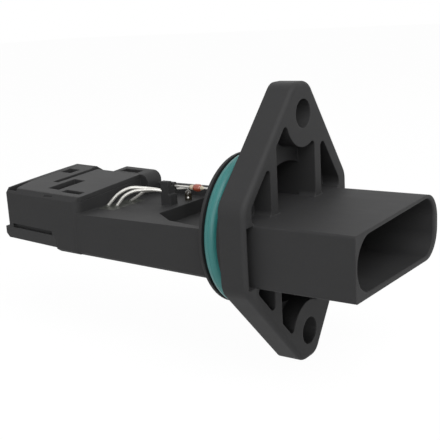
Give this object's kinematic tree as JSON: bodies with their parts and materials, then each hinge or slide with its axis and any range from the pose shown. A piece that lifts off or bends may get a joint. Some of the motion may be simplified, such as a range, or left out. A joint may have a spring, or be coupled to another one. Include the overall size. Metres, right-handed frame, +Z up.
{
  "type": "mass airflow sensor",
  "caption": "Plug-in airflow sensor: probe with a measuring channel and a temperature bead, sealed boss, two-bolt flange and a keyed socket for a loom plug.",
  "frame": {"origin": "centre of the boss on the flange's seating face", "axes": "+X along the probe and out through the socket, so the probe points to -X; +Z up the line of the two bolts; +Y across, away from the camera"},
  "size_m": [0.1039, 0.0452, 0.0638],
  "materials": {
    "housing_plastic": "fine grain",
    "cover_plastic": "fine grain",
    "seal_rubber": "smooth",
    "tinned_lead": "tinned",
    "terminal_metal": "plated",
    "compound": "cast",
    "plate_metal": "rolled",
    "ceramic": "fired",
    "chip_body": "moulded",
    "capacitor_body": "fired",
    "sensing_film": "polished",
    "bead_glass": "dipped",
    "joint_resin": "dipped",
    "collar_resin": "cast"
  },
  "bodies": {
    "root": {"housing": "housing_plastic", "seal_ring": "seal_rubber", "terminal_1": "terminal_metal", "terminal_2": "terminal_metal", "terminal_3": "terminal_metal", "terminal_4": "terminal_metal", "terminal_5": "terminal_metal", "bond_wire_1": "plate_metal", "bond_wire_2": "plate_metal", "bond_wire_3": "plate_metal", "bond_wire_4": "plate_metal", "bond_wire_5": "plate_metal", "lead_1": "tinned_lead", "lead_2": "tinned_lead", "lead_3": "tinned_lead", "lead_compound": "compound", "base_plate": "plate_metal", "substrate": "ceramic", "signal_chip": "chip_body", "capacitor_1": "capacitor_body", "capacitor_2": "capacitor_body", "capacitor_3": "capacitor_body", "capacitor_4": "capacitor_body", "sensor_carrier": "ceramic", "sensing_chip": "sensing_film", "circuit_cover": "cover_plastic", "channel_cover": "cover_plastic", "channel_base": "cover_plastic", "joint_lead": "tinned_lead", "joint_bead": "joint_resin", "thermistor_lead_inner": "tinned_lead", "thermistor_lead_outer": "tinned_lead", "thermistor_bead": "bead_glass", "thermistor_collar": "collar_resin"}
  },
  "joints": []
}
